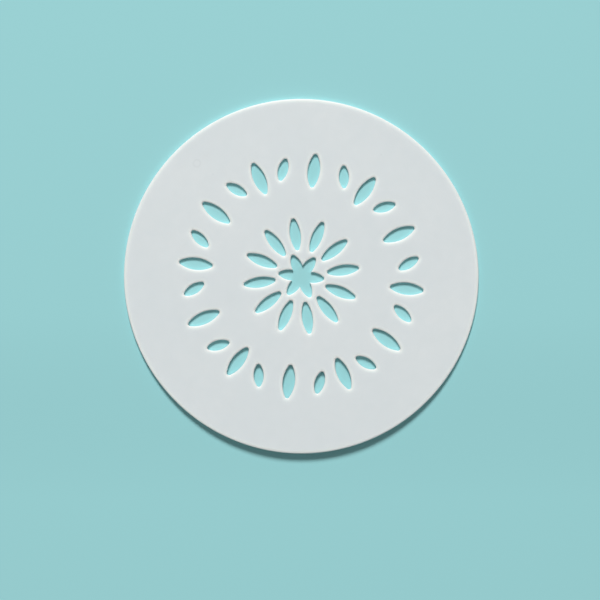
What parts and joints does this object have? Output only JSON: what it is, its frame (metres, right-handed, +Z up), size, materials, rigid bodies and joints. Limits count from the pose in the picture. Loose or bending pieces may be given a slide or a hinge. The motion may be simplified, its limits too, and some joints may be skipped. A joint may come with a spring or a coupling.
{
  "type": "round flower stencil",
  "caption": "Thin round plastic template with a flower in the middle and rings of petal-shaped openings for tracing or dabbing a pattern.",
  "frame": {"origin": "centre of the round sheet on its underside", "axes": "+Z up through the sheet, +X along one petal of the centre flower and one large petal of the wreath"},
  "size_m": [0.0762, 0.0762, 0.0008],
  "materials": {
    "sheet": "milky white, slightly translucent, satin"
  },
  "bodies": {
    "root": {"template_disc": "sheet"}
  },
  "joints": []
}
